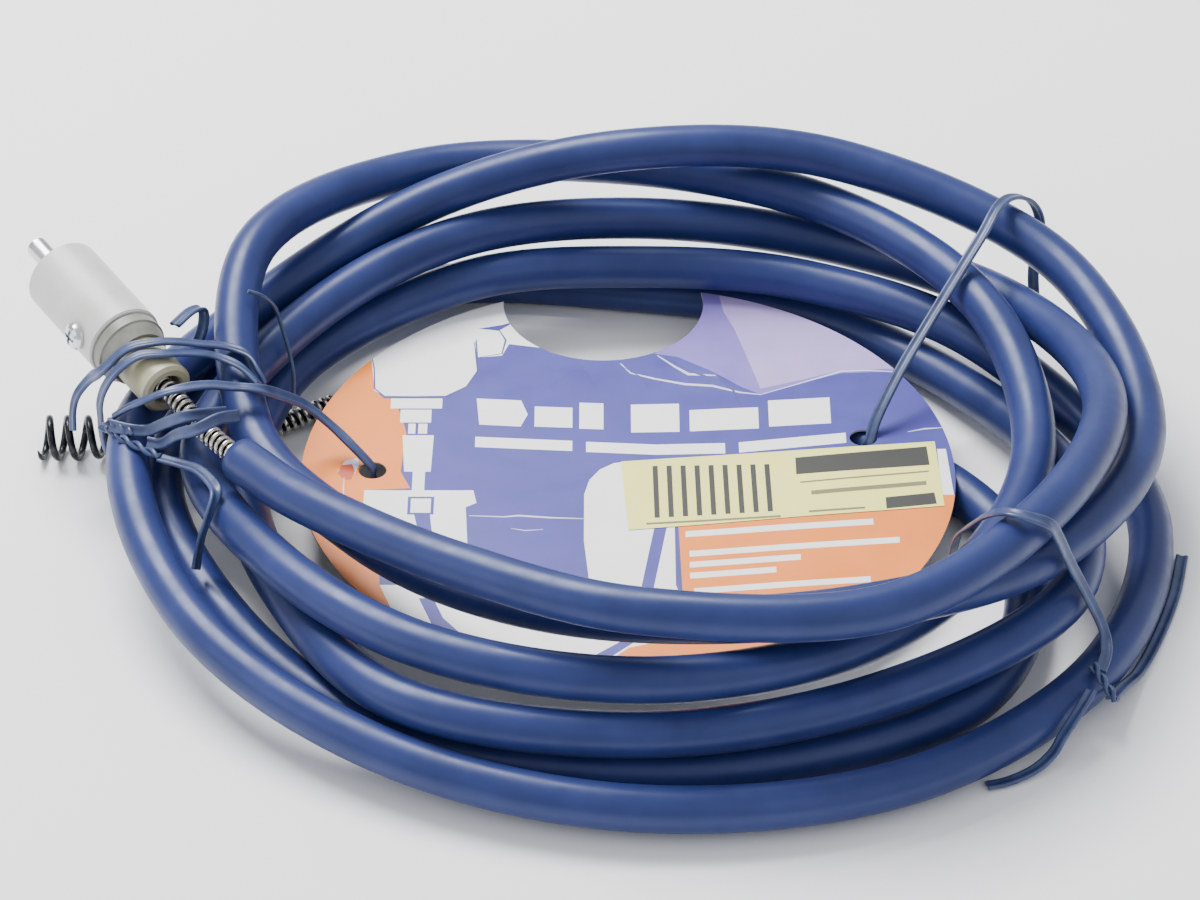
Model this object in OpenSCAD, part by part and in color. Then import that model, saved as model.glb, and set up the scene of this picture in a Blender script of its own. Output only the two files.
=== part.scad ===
// Drain auger for an electric drill: a spring cable in a flexible hose, coiled, tied and carded.
// Origin: on the floor, below the middle of the whole packed coil. +Z up. Millimetres.

/* [Hose] */
// Outside diameter of the flexible hose
hose_d = 12.7; // [12:0.1:13]
// Bore of the hose
hose_bore = 9.5; // [8:0.1:10]
// Sides of the hose tube
hose_sides = 12; // [8:1:12]

/* [Cable] */
// Diameter of the spring cable
cable_d = 6.35; // [5:0.05:6.5]
// Straight cable standing out of the guide bush
stub_out = 15; // [10:1:16]

/* [Drive head] */
// Diameter of the shank that the drill chuck grips
shank_d = 6.35; // [6:0.05:8]
// Length of shank standing out of the sleeve
shank_out = 16; // [12:1:30]
// Outside diameter of the coupling sleeve
sleeve_d = 22.7; // [21.5:0.1:24]
// Bore of the coupling sleeve
sleeve_bore = 15.8; // [15.4:0.1:16]
// Length of the coupling sleeve
sleeve_len = 36.5; // [34:0.5:42]
// Length of the coned collar in front of the sleeve
collar_len = 8.2; // [7:0.1:10]
// Outside diameter of the collar's rim
collar_d = 21.2; // [20:0.1:22.4]
// Outside diameter of the guide bush
bush_d = 15.4; // [14:0.1:15.4]
// Length of bush standing out in front of the sleeve
bush_out = 16; // [14:1:20]
// Hole through the guide bush
bush_bore = 9; // [7.5:0.1:10]
// Diameter of the clamping screw
screw_d = 4; // [3:0.5:5]

/* [Corkscrew tip] */
// Outside diameter of the corkscrew
tip_d = 13.6; // [11:0.1:13.8]
// Wire diameter of the corkscrew
tip_wire = 2.2; // [1.6:0.1:2.4]
// Turns of the corkscrew
tip_turns = 3.75; // [3:0.25:4]
// Length gained by the first turn, next to the cable
tip_pitch = 7.4; // [6:0.1:7.6]
// Length gained by the last turn, at the point
tip_pitch_end = 4.2; // [3.8:0.1:5]

/* [Card] */
// Diameter of the round display card
card_d = 187; // [180:1:188]
// Thickness of the display card
card_t = 0.6; // [0.4:0.1:0.8]
// Radius of the bite in the card's edge
notch_r = 30; // [25:1:32]
// Diameter of the two punched tie holes
punch_d = 8; // [6:0.5:9]

/* [Ties] */
// Width of the flat plastic-coated tie
tie_w = 3.6; // [3:0.1:4]
// Thickness of the flat tie
tie_t = 1.2; // [1:0.1:1.3]

/* [Hidden] */

round_fn = 96;
gap = 0.1;
fit_gap = 0.05;

// The coil's own centre, seen from the origin.
coil_at = [11.5, 9, 0];

// Hose route round the coil's centre: [angle, radius, lift of its underside above the floor].
// One row of the list is one turn, from the left, past the front and the right to the back.
hose_turns = [
    [[194, 114, 34], [210, 104, 37], [240, 99, 42], [270, 111, 46], [300, 128, 47], [330, 127, 44],
     [360, 131, 36], [390, 128, 24], [420, 120, 19], [450, 110, 24], [480, 109, 27], [510, 114, 22]],
    [[540, 124, 18], [570, 117, 24], [600, 116, 26], [630, 115, 26], [660, 112, 23], [690, 109, 21],
     [720, 112, 22], [750, 115, 30], [780, 118, 33], [810, 121, 36], [840, 133, 38], [870, 129, 44]],
    [[900, 110, 26], [930, 92, 24], [960, 90, 27], [990, 98, 33], [1020, 115, 38], [1050, 129, 30],
     [1080, 143, 25], [1110, 143, 34], [1140, 124, 46], [1170, 108, 50], [1200, 118, 37], [1230, 130, 22]],
    [[1260, 144, 22], [1290, 142, 13], [1320, 138, 6], [1350, 140, 3], [1380, 146, 2], [1410, 148, 1],
     [1440, 144, 0], [1470, 118, 13], [1500, 103, 15], [1530, 97, 15], [1560, 103, 15], [1590, 114, 8]],
    [[1620, 112, 8], [1650, 113, 10], [1680, 127, 15], [1710, 123, 14], [1740, 125, 15], [1770, 134, 16],
     [1800, 121, 9], [1830, 109, 2], [1860, 106, 0], [1890, 106, 0], [1920, 124, 1], [1950, 130, 7]],
    [[1980, 136, 8], [2010, 127, 2], [2040, 125, 0], [2070, 123, 1], [2095, 126, 1], [2113, 130, 2],
     [2130, 122, 1], [2147, 109, 0], [2164, 90, 0], [2184, 68, 0], [2210, 50, 0], [2245, 44, 0],
     [2278, 53, 0], [2295, 73, 0], [2305, 91, 0]]
];
hose_rows = [for (turn = hose_turns) each turn];
hose_step = 0.8;

// Bare cable from the hose's far end, under the bundle, to the corkscrew: [x, y, z] from coil_at.
tail_route = [
    [-87, 50, 5], [-97, 45, 4], [-108, 38, 3.5], [-120, 33, 3.5], [-129, 30, 5], [-137, 29, 7],
    [-141, 29, 7], [-144, 29, 7]
];

// Drive head: the middle of the bush's front face, and the way its axis points.
drive_at = [-133, 3.5, 42];
drive_turn = 34;
drive_rise = 5;
screw_turn = 189;

// Distances along the drive head from the bush's front face, towards the chuck.
collar_at = bush_out;
collar_nose = 4;
groove = 0.3;
sleeve_at = collar_at + collar_len + groove;
screw_at = sleeve_at + 8;
bush_end = sleeve_at + 3;
hub_at = bush_end + gap;
hub_end = sleeve_at + sleeve_len - 0.5;
socket_end = hub_at + 11;
shank_at = socket_end + 2;
shank_root_d = shank_d + 1.65;
shank_end = sleeve_at + sleeve_len + shank_out;
screw_seat = sleeve_d / 2 + 0.1;

// Corkscrew: it points along -X.
tip_at = [-144.3, 29, 7];
tip_shank_len = 7;

card_at = [-3, 3.5, 13.1];
sticker_w = 90;
sticker_d = 30;
sticker_t = 0.2;

function from_coil(p) = p + coil_at;
function polar(row) = from_coil([row[1] * cos(row[0]), row[1] * sin(row[0]), row[2] + hose_d / 2]);

// A smooth curve through a list of points; u runs from 0 to the last point's number.
function pick(pts, i) =
    i < 0 ? 2 * pts[0] - pts[1] :
    i >= len(pts) ? 2 * pts[len(pts) - 1] - pts[len(pts) - 2] : pts[i];
function bend(a, b, c, d, t) =
    (2 * b + (c - a) * t + (2 * a - 5 * b + 4 * c - d) * t * t + (3 * b - a - 3 * c + d) * t * t * t) / 2;
function along(pts, u) =
    let (i = min(floor(u), len(pts) - 2))
    bend(pick(pts, i - 1), pick(pts, i), pick(pts, i + 1), pick(pts, i + 2), u - i);
function smooth(pts, step) = [for (u = [0 : step : len(pts) - 1 + 0.001]) along(pts, min(u, len(pts) - 1))];
function unit(v) = v / norm(v);

// Rings of an oval section swept along a path; side is the way the section's width points.
function heading(path, i) = unit(path[min(i + 1, len(path) - 1)] - path[max(i - 1, 0)]);
function ring(path, i, side, wide, thick, n) =
    let (t = heading(path, i), out = unit(cross(t, side)), across = cross(out, t))
    [for (k = [0 : n - 1]) let (a = k * 360 / n) path[i] + across * wide / 2 * cos(a) + out * thick / 2 * sin(a)];
function rings(path, side, wide, thick, n) =
    [for (i = [0 : len(path) - 1]) each ring(path, i, side, wide, thick, n)];
function wall(first, rows, n, flip) = [
    for (i = [0 : rows - 2], k = [0 : n - 1])
        let (a = first + i * n + k, b = first + i * n + (k + 1) % n)
        each flip ? [[a, a + n, b + n], [a, b + n, b]] : [[a, b + n, a + n], [a, b, b + n]]
];

module solid_sweep(path, side, wide, thick, n) {
    rows = len(path);
    last = (rows - 1) * n;
    polyhedron(
        points = rings(path, side, wide, thick, n),
        faces = concat(
            wall(0, rows, n, false),
            [[for (k = [n - 1 : -1 : 0]) k]],
            [[for (k = [0 : n - 1]) last + k]]
        )
    );
}

module hollow_sweep(path, side, outer, inner, n) {
    rows = len(path);
    bore = rows * n;
    last = (rows - 1) * n;
    polyhedron(
        points = concat(rings(path, side, outer, outer, n), rings(path, side, inner, inner, n)),
        faces = concat(
            wall(0, rows, n, false),
            wall(bore, rows, n, true),
            [for (k = [0 : n - 1]) [(k + 1) % n, k, bore + k, bore + (k + 1) % n]],
            [for (k = [0 : n - 1]) [last + k, last + (k + 1) % n, bore + last + (k + 1) % n, bore + last + k]]
        )
    );
}

hose_points = [for (row = hose_rows) polar(row)];
hose_floor = hose_d / 2;
function off_floor(p, low) = [p[0], p[1], max(p[2], low)];
hose_path = [for (p = smooth(hose_points, hose_step)) off_floor(p, hose_floor)];

drive_axis = [-sin(drive_turn) * cos(drive_rise), cos(drive_turn) * cos(drive_rise), sin(drive_rise)];
function on_drive(s) = from_coil(drive_at) + drive_axis * s;
mouth_lead = [on_drive(-stub_out - gap), on_drive(-stub_out - 4)];
cable_path = concat(mouth_lead, hose_path, [for (p = tail_route) from_coil(p)]);

module drive_frame() {
    translate(from_coil(drive_at)) rotate([0, 0, drive_turn]) rotate([drive_rise - 90, 0, 0]) children();
}

module hose() {
    color([0.16, 0.28, 0.60]) hollow_sweep(hose_path, [0, 0, 1], hose_d, hose_bore, hose_sides);
}

module drain_cable() {
    color([0.72, 0.72, 0.70]) solid_sweep(cable_path, [0, 0, 1], cable_d, cable_d, 8);
}

module cable_drive_end() {
    color([0.72, 0.72, 0.70]) drive_frame()
        translate([0, 0, -stub_out]) cylinder(h = stub_out + socket_end - 0.5, d = cable_d, $fn = round_fn);
}

module drive_hub() {
    hub_d = sleeve_bore - 2 * gap;
    color([0.60, 0.60, 0.62]) drive_frame() difference() {
        translate([0, 0, hub_at]) cylinder(h = hub_end - hub_at, d = hub_d, $fn = round_fn);
        translate([0, 0, hub_at - 1])
            cylinder(h = socket_end - hub_at + 1, d = cable_d + 2 * fit_gap, $fn = round_fn);
        translate([0, 0, shank_at])
            cylinder(h = hub_end - shank_at + 1, d = shank_root_d + 2 * fit_gap, $fn = round_fn);
        translate([0, 0, screw_at]) rotate([0, 90, screw_turn])
            cylinder(h = 2 * hub_d, d = screw_d + 2 * fit_gap, center = true, $fn = 48);
    }
}

module drill_shank() {
    chamfer = 0.6;
    color([0.80, 0.80, 0.82]) drive_frame() translate([0, 0, shank_at + gap]) {
        length = shank_end - shank_at - gap;
        root_len = hub_end - shank_at - gap;
        cylinder(h = root_len, d = shank_root_d, $fn = round_fn);
        cylinder(h = length - chamfer, d = shank_d, $fn = round_fn);
        translate([0, 0, length - chamfer])
            cylinder(h = chamfer, d1 = shank_d, d2 = shank_d - 2 * chamfer, $fn = round_fn);
    }
}

module coupling_sleeve() {
    edge = 0.5;
    outer = sleeve_d / 2;
    inner = sleeve_bore / 2;
    color([0.78, 0.78, 0.76]) drive_frame() difference() {
        translate([0, 0, sleeve_at]) rotate_extrude($fn = round_fn) polygon([
            [inner, 0], [outer - edge, 0], [outer, edge],
            [outer, sleeve_len - edge], [outer - edge, sleeve_len], [inner, sleeve_len]
        ]);
        translate([0, 0, screw_at]) rotate([0, 90, screw_turn])
            cylinder(h = 2 * sleeve_d, d = screw_d + 4 * fit_gap, center = true, $fn = 48);
    }
}

module sleeve_collar() {
    edge = 0.5;
    wall_at_nose = 0.8;
    outer = collar_d / 2;
    inner = bush_d / 2 + gap;
    color([0.70, 0.70, 0.68]) drive_frame() translate([0, 0, collar_at]) rotate_extrude($fn = round_fn)
        polygon([
            [inner, 0], [inner + wall_at_nose, 0], [outer - edge, collar_nose], [outer, collar_nose + edge],
            [outer, collar_len - edge], [outer - edge, collar_len], [inner, collar_len]
        ]);
}

module guide_bush() {
    edge = 1;
    outer = bush_d / 2;
    inner = bush_bore / 2;
    color([0.90, 0.87, 0.74]) drive_frame() rotate_extrude($fn = round_fn) polygon([
        [inner + 0.6, 0], [outer - edge, 0], [outer, edge], [outer, bush_end], [inner, bush_end], [inner, 0.6]
    ]);
}

module clamp_screw() {
    head_d = 2 * screw_d;
    head_h = 2.6;
    slot = 1;
    reach = screw_seat - cable_d / 2 - 0.2;
    color([0.82, 0.83, 0.85]) drive_frame() translate([0, 0, screw_at]) rotate([0, 90, screw_turn]) {
        translate([0, 0, screw_seat - reach]) cylinder(h = reach, d = screw_d, $fn = 48);
        difference() {
            translate([0, 0, screw_seat]) rotate_extrude($fn = 48) polygon([
                [0, 0], [head_d / 2, 0], [head_d / 2, 0.9], [head_d / 2 - 0.5, 1.7],
                [head_d / 2 - 1.4, 2.3], [head_d / 2 - 2.4, head_h], [0, head_h]
            ]);
            for (a = [0, 90]) translate([0, 0, screw_seat + head_h]) rotate(a)
                cube([head_d * 0.6, slot, 2.4], center = true);
        }
    }
}

module tip_shank() {
    color([0.72, 0.72, 0.70]) translate(from_coil(tip_at)) rotate([0, -90, 0])
        cylinder(h = tip_shank_len, d = cable_d, $fn = round_fn);
}

module corkscrew_tip() {
    per_turn = 16;
    count = tip_turns * per_turn;
    full = (tip_d - tip_wire) / 2;
    root = cable_d / 2 - tip_wire / 2;
    opening = 12;
    start = from_coil(tip_at) - [tip_shank_len + tip_wire / 2 + 0.4, 0, 0];
    function reach(turn) = tip_pitch * turn + (tip_pitch_end - tip_pitch) * turn * turn / tip_turns / 2;
    path = [for (i = [0 : count])
        let (turn = i / per_turn, r = root + (full - root) * min(i / opening, 1), a = 90 - turn * 360)
        start + [-reach(turn), r * cos(a), r * sin(a)]
    ];
    color([0.70, 0.70, 0.70]) solid_sweep(path, [1, 0, 0], tip_wire, tip_wire, 8);
}

module display_card() {
    notch_at = [-7, 85];
    color([0.49, 0.47, 0.72]) translate(from_coil(card_at)) linear_extrude(card_t) difference() {
        circle(d = card_d, $fn = 180);
        translate(notch_at) circle(r = notch_r, $fn = round_fn);
        for (hole = [[-73, 0], [68, 16]]) translate(hole) circle(d = punch_d, $fn = 48);
    }
}

module price_sticker() {
    color([0.93, 0.91, 0.60]) translate(from_coil(card_at) + [0, 0, card_t]) rotate(6)
        translate([-1, -26, 0]) cube([sticker_w, sticker_d, sticker_t]);
}

// A flat tie through points given from the coil's centre; side is the way its width points.
module tie(pts, side) {
    route = [for (p = pts) from_coil(p)];
    color([0.20, 0.30, 0.45]) solid_sweep(smooth(route, 0.5), unit(side), tie_w, tie_t, 8);
}

module card_tie_right() {
    tie([
        [67, 20, 13], [69, 24, 18], [76, 35, 27], [86, 49, 37], [95, 61, 46], [101, 70, 51],
        [106, 80, 54], [111, 87, 53], [117, 92, 48], [120, 92, 41], [119, 88, 34], [118, 83, 29],
        [118, 77, 24]
    ], [0.8, -0.6, 0]);
}

module bundle_tie_right() {
    tie([
        [86, -50, 24], [87, -54, 34], [90, -62, 44], [93, -70, 53], [97, -78, 60], [103, -81, 60.5],
        [109, -80, 57], [112, -77, 50], [115, -73, 41], [119, -72, 32], [123, -73, 24],
        [126, -76, 18], [126, -83, 16], [124, -89, 15]
    ], [0.62, 0.78, 0]);
}

module bundle_tie_right_under() {
    tie([
        [121, -96, 13.5], [117, -103, 11.5], [113, -108, 8], [110, -111, 4], [105, -115, 1.8],
        [98, -119, 1.2], [92, -121, 1.2]
    ], [0.5, -0.85, 0.1]);
}

module bundle_tie_right_tail() {
    tie([
        [127, -94, 9], [131, -85, 6], [137, -73, 2], [144, -56, 1], [150, -38, 1], [154, -20, 1]
    ], [0.94, -0.33, 0]);
}

module bundle_tie_left() {
    tie([
        [-161.5, 9, 24], [-161.5, 12, 29], [-160, 13, 34], [-156, 13, 39.5], [-152, 9, 45],
        [-145, 11, 51], [-138, 12, 52.5], [-131, 14, 51.5], [-124, 17, 48.5], [-118, 19, 46.5],
        [-112, 17, 45.5], [-108, 11, 43.5], [-106, 8, 41]
    ], [-0.45, 0.9, 0]);
}

module bundle_tie_left_lower() {
    tie([
        [-148, 9, 9], [-152, 11, 13], [-153.5, 11, 20], [-153.5, 10, 28], [-153, 7, 35],
        [-151, 5, 42], [-147, 5, 48], [-141, 7, 51.5], [-134, 8, 51.5], [-127, 12, 49],
        [-120, 14, 46.5], [-113, 11, 45], [-107.5, 6, 42.5]
    ], [-0.4, 0.9, 0]);
}

module bundle_tie_left_drop() {
    tie([
        [-134, -18, 34], [-128, -22, 35], [-123, -26, 36], [-119, -32, 36.5], [-117, -38, 36.5],
        [-119, -44, 32.5], [-121, -46.5, 27], [-122, -48.5, 22.5], [-122.5, -50.5, 19.6]
    ], [0.5, 0.85, 0]);
}

module bundle_tie_left_end() {
    tie([
        [-132, 23, 51], [-128, 30, 51], [-125, 34, 49], [-125, 33, 44], [-127, 32, 38]
    ], [0.85, -0.5, 0]);
}

module card_tie_left() {
    tie([
        [-149, 0, 35], [-144, -2, 40], [-138, -5, 45], [-131, -5, 48], [-122, -1, 47],
        [-114, 1, 45], [-107, 2, 43.5], [-101, 8, 37], [-95, 13, 30], [-88, 13, 23], [-81.5, 8, 19],
        [-76, 4, 14.5]
    ], [0.2, 1, 0]);
}

module knot_tie_left() {
    tie([
        [-149, -5, 36], [-143, -8, 36.5], [-138, -9, 37], [-133, -12, 41.5], [-127, -15, 46],
        [-121, -13, 45.5], [-116, -8, 42.5]
    ], [0, 0.6, 0.8]);
}

module knot_tie_left_lower() {
    tie([
        [-138, -12, 35], [-134, -14, 36], [-129, -18, 42], [-123, -21, 46], [-117, -18, 47.5],
        [-112, -13, 45]
    ], [0, 0.6, 0.8]);
}

module twist_wire() {
    wire_d = 1.2;
    route = [for (p = [
        [-112, 38, 52.5], [-108, 39, 50], [-105, 43, 43.5], [-103, 42, 36.5],
        [-101, 39, 30], [-100, 36, 25], [-100, 34, 19]
    ]) from_coil(p)];
    color([0.45, 0.52, 0.62]) solid_sweep(smooth(route, 0.5), unit([0.5, 0.85, 0]), wire_d, wire_d, 8);
}

hose();
drain_cable();
cable_drive_end();
drive_hub();
drill_shank();
coupling_sleeve();
sleeve_collar();
guide_bush();
clamp_screw();
tip_shank();
corkscrew_tip();
display_card();
price_sticker();
card_tie_right();
bundle_tie_right();
bundle_tie_right_under();
bundle_tie_right_tail();
bundle_tie_left();
bundle_tie_left_lower();
bundle_tie_left_drop();
bundle_tie_left_end();
card_tie_left();
knot_tie_left();
knot_tie_left_lower();
twist_wire();
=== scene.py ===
import bpy
import bmesh
import math
import numpy as np
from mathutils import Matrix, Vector, noise
from mathutils.geometry import delaunay_2d_cdt


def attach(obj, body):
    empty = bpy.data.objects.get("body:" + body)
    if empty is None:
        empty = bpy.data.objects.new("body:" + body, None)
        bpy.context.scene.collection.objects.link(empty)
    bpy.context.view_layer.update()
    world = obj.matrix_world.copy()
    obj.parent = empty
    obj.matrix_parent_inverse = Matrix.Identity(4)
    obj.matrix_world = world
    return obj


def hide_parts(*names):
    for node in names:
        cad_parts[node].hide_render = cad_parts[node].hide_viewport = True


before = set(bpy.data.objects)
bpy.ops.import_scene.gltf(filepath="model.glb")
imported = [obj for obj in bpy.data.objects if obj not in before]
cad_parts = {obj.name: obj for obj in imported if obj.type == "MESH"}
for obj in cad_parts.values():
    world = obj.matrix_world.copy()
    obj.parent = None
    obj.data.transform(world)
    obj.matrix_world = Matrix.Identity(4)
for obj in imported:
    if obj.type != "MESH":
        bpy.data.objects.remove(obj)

# Everything is drawn in millimetres from the coil's centre, as in part.scad; place() turns it
# into metres in the row's frame.
MM = 0.001
COIL = np.array([11.5, 9.0, 0.0])
UP = (0, 0, 1)
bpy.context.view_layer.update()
SCENE = bpy.context.scene


# ---------------------------------------------------------------- camera
CAMERA_AT, CAMERA_TILT = (0.0005, -1.0712, 0.8085), 54
LENS, SENSOR = 141, 36


def camera():
    data = bpy.data.cameras.new("camera")
    data.sensor_width = SENSOR
    data.lens = LENS
    data.clip_start, data.clip_end = 0.05, 20
    cam = bpy.data.objects.new("camera", data)
    SCENE.collection.objects.link(cam)
    cam.location = CAMERA_AT
    cam.rotation_euler = (math.radians(CAMERA_TILT), 0, 0)
    SCENE.camera = cam


# ---------------------------------------------------------------- curves and sweeps
def polar(row):
    a = math.radians(row[0])
    return (row[1] * math.cos(a), row[1] * math.sin(a), row[2])


def smooth(points, steps):
    """A smooth curve through the points, with that many steps between each two."""
    p = [np.array(q, float) for q in points]
    p = [2 * p[0] - p[1]] + p + [2 * p[-1] - p[-2]]
    out = []
    for i in range(1, len(p) - 2):
        a, b, c, d = p[i - 1:i + 3]
        for k in range(steps):
            t = k / steps
            out.append((2 * b + (c - a) * t + (2 * a - 5 * b + 4 * c - d) * t * t
                        + (3 * b - a - 3 * c + d) * t ** 3) / 2)
    out.append(p[-2])
    return np.array(out)


def along(path):
    """Distance from the path's start to each of its points."""
    steps = np.linalg.norm(np.diff(path, axis=0), axis=1)
    return np.concatenate([[0], np.cumsum(steps)])


def frames(path, side):
    """Ahead, across and out vectors for each point; side is roughly the way across points."""
    ahead = np.gradient(path, axis=0)
    ahead /= np.linalg.norm(ahead, axis=1)[:, None]
    side = np.broadcast_to(np.array(side, float), ahead.shape)
    out = np.cross(ahead, side)
    out /= np.linalg.norm(out, axis=1)[:, None]
    across = np.cross(out, ahead)
    return ahead, across, out


def circle(r, n):
    return [(r * math.cos(2 * math.pi * k / n), r * math.sin(2 * math.pi * k / n))
            for k in range(n)]


def tube_data(path, side, section, cap=True, start=0):
    """Verts and faces of a section swept along a path.

    The section is a list of (across, out) points, or a function that gives it for each point
    of the path. start is the number of verts that the mesh already has.
    """
    _, across, out = frames(path, side)
    verts, faces = [], []
    for i in range(len(path)):
        ring = section(i) if callable(section) else section
        for x, y in ring:
            verts.append(path[i] + across[i] * x + out[i] * y)
    n = len(ring)
    for i in range(len(path) - 1):
        for k in range(n):
            a, b = start + i * n + k, start + i * n + (k + 1) % n
            faces.append((a, b, b + n, a + n))
    if cap:
        faces.append(tuple(start + k for k in range(n - 1, -1, -1)))
        faces.append(tuple(start + (len(path) - 1) * n + k for k in range(n)))
    return verts, faces


def add_tube(verts, faces, path, side, section):
    """Adds one more capped tube to a mesh's verts and faces."""
    more, extra = tube_data(path, side, section, start=len(verts))
    verts += more
    faces += extra


def place(verts):
    return [(np.array(v) + COIL) * MM for v in verts]


def new_object(name, verts, faces, uv=None):
    """A smooth-shaded mesh object; uv gives the texture point of a polygon's corner."""
    mesh = bpy.data.meshes.new(name)
    mesh.from_pydata([tuple(v) for v in place(verts)], [], faces)
    if uv is not None:
        layer = mesh.uv_layers.new(name="UVMap")
        flat = []
        for poly in mesh.polygons:
            flat += [uv(poly, k) for k in range(len(poly.vertices))]
        layer.data.foreach_set("uv", np.array(flat, float).ravel())
    for poly in mesh.polygons:
        poly.use_smooth = True
    mesh.update()
    obj = bpy.data.objects.new(name, mesh)
    SCENE.collection.objects.link(obj)
    return obj


def finish_piece(obj, body, material, node, crease=None):
    """The piece rides on a body and stands for a node; edges past crease degrees are sharp."""
    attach(obj, body)
    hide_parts(node)
    if not obj.data.materials:
        obj.data.materials.append(material)
    if crease:
        least = math.cos(math.radians(crease))
        bm = bmesh.new()
        bm.from_mesh(obj.data)
        for e in bm.edges:
            if len(e.link_faces) == 2:
                a, b = e.link_faces
                if a.normal.dot(b.normal) < least:
                    e.smooth = False
        bm.to_mesh(obj.data)
        bm.free()


# ---------------------------------------------------------------- materials
class Nodes:
    """A Principled material and the few node kinds that the materials here are made of."""

    def __init__(self, name):
        self.mat = bpy.data.materials.new(name)
        self.mat.use_nodes = True
        self.tree = self.mat.node_tree
        self.bsdf = next(n for n in self.tree.nodes if n.type == "BSDF_PRINCIPLED")
        self.coord = self.tree.nodes.new("ShaderNodeTexCoord")

    def set(self, **values):
        for key, value in values.items():
            self.bsdf.inputs[key.replace("_", " ")].default_value = value
        return self

    def link(self, a, b):
        self.tree.links.new(a, b)

    def noise(self, scale, detail=4, rough=0.55, source="Object", stretch=None):
        n = self.tree.nodes.new("ShaderNodeTexNoise")
        n.inputs["Scale"].default_value = scale
        n.inputs["Detail"].default_value = detail
        n.inputs["Roughness"].default_value = rough
        out = self.coord.outputs[source]
        if stretch:
            m = self.tree.nodes.new("ShaderNodeMapping")
            m.inputs["Scale"].default_value = stretch
            self.link(out, m.inputs["Vector"])
            out = m.outputs["Vector"]
        self.link(out, n.inputs["Vector"])
        return n.outputs["Fac"]

    def ramp(self, fac, dark, light):
        """From dark to light over the middle of a noise's range."""
        r = self.tree.nodes.new("ShaderNodeValToRGB")
        for e, position, colour in zip(r.color_ramp.elements, (0.3, 0.7), (dark, light)):
            e.position = position
            e.color = (*colour, 1)
        self.link(fac, r.inputs["Fac"])
        return r.outputs["Color"]

    def grey(self, fac, lo, hi, a=0.3, b=0.7):
        """A number from lo to hi as fac goes from a to b."""
        m = self.tree.nodes.new("ShaderNodeMapRange")
        for key, value in (("From Min", a), ("From Max", b), ("To Min", lo), ("To Max", hi)):
            m.inputs[key].default_value = value
        self.link(fac, m.inputs["Value"])
        return m.outputs["Result"]

    def mix(self, fac, base, over):
        """Lays the colour over onto the socket base, by the socket fac."""
        m = self.tree.nodes.new("ShaderNodeMix")
        m.data_type = "RGBA"
        self.link(fac, m.inputs[0])
        self.link(base, m.inputs[6])
        m.inputs[7].default_value = (*over, 1)
        return m.outputs[2]

    def bump(self, heights):
        """heights: (socket, strength, distance in mm) from the coarsest to the finest."""
        last = None
        for socket, strength, distance in heights:
            b = self.tree.nodes.new("ShaderNodeBump")
            b.inputs["Strength"].default_value = strength
            b.inputs["Distance"].default_value = distance * MM
            self.link(socket, b.inputs["Height"])
            if last:
                self.link(last, b.inputs["Normal"])
            last = b.outputs["Normal"]
        self.link(last, self.bsdf.inputs["Normal"])

    def colour(self, socket):
        self.link(socket, self.bsdf.inputs["Base Color"])

    def rough(self, socket):
        self.link(socket, self.bsdf.inputs["Roughness"])


def moulded(name, dark, light, rough, scale, stain=None):
    """Plastic with cloudy colour, a fine grain and uneven gloss."""
    m = Nodes(name)
    base = m.ramp(m.noise(scale, 5), dark, light)
    if stain:
        base = m.mix(m.grey(m.noise(scale * 3.1, 6, 0.7), 0, 0.55, 0.6, 0.8), base, stain)
    m.colour(base)
    m.rough(m.grey(m.noise(scale * 2, 6, 0.65), rough - 0.07, rough + 0.09))
    m.bump([(m.noise(scale * 1.4, 3), 0.25, 0.4), (m.noise(1400, 3), 0.25, 0.05)])
    return m.mat


def metal(name, dark, light, rough, scale, stretch=None):
    """Metal with patchy colour, uneven gloss and fine scratches."""
    m = Nodes(name).set(Metallic=1.0)
    m.colour(m.ramp(m.noise(scale, 6, 0.6, stretch=stretch), dark, light))
    m.rough(m.grey(m.noise(scale * 0.6, 5), rough - 0.08, rough + 0.12))
    m.bump([(m.noise(scale * 4, 4, stretch=stretch), 0.2, 0.03)])
    return m.mat


def hose_material():
    """Soft vinyl with scuffs, faint rings round the hose and shallow kinks along it."""
    m = Nodes("hose_vinyl").set(IOR=1.46, Coat_Weight=0.06, Coat_Roughness=0.34,
                                Specular_IOR_Level=0.42, Specular_Tint=(0.72, 0.80, 1.0, 1.0))
    base = m.ramp(m.noise(38, 5, 0.6), (0.0150, 0.0245, 0.106), (0.026, 0.0395, 0.156))
    scuff = m.grey(m.noise(260, 8, 0.75, stretch=(1, 1, 0.6)), 0, 0.5, 0.64, 0.8)
    m.colour(m.mix(scuff, base, (0.035, 0.065, 0.17)))
    m.rough(m.grey(m.noise(110, 6, 0.7), 0.30, 0.46))
    rings = m.noise(3.0, 3, 0.5, source="UV", stretch=(0.6, 46, 1))
    kinks = m.noise(1.6, 2, 0.5, source="UV", stretch=(2.0, 14, 1))
    m.bump([(kinks, 0.35, 0.6), (rings, 0.18, 0.3), (m.noise(1500, 3), 0.12, 0.05)])
    return m.mat


def tie_material():
    """Thin plastic strap with pale stretch marks."""
    m = Nodes("tie_plastic")
    base = m.ramp(m.noise(160, 4), (0.027, 0.041, 0.112), (0.055, 0.080, 0.190))
    marks = m.grey(m.noise(500, 6, 0.7), 0, 0.5, 0.6, 0.8)
    m.colour(m.mix(marks, base, (0.11, 0.17, 0.32)))
    m.rough(m.grey(m.noise(300, 5), 0.28, 0.45))
    m.bump([(m.noise(220, 3), 0.3, 0.25), (m.noise(1800, 3), 0.15, 0.04)])
    return m.mat


INK_SPREAD, SCRATCH = 0.06, (0.78, 0.76, 0.80)


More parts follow.
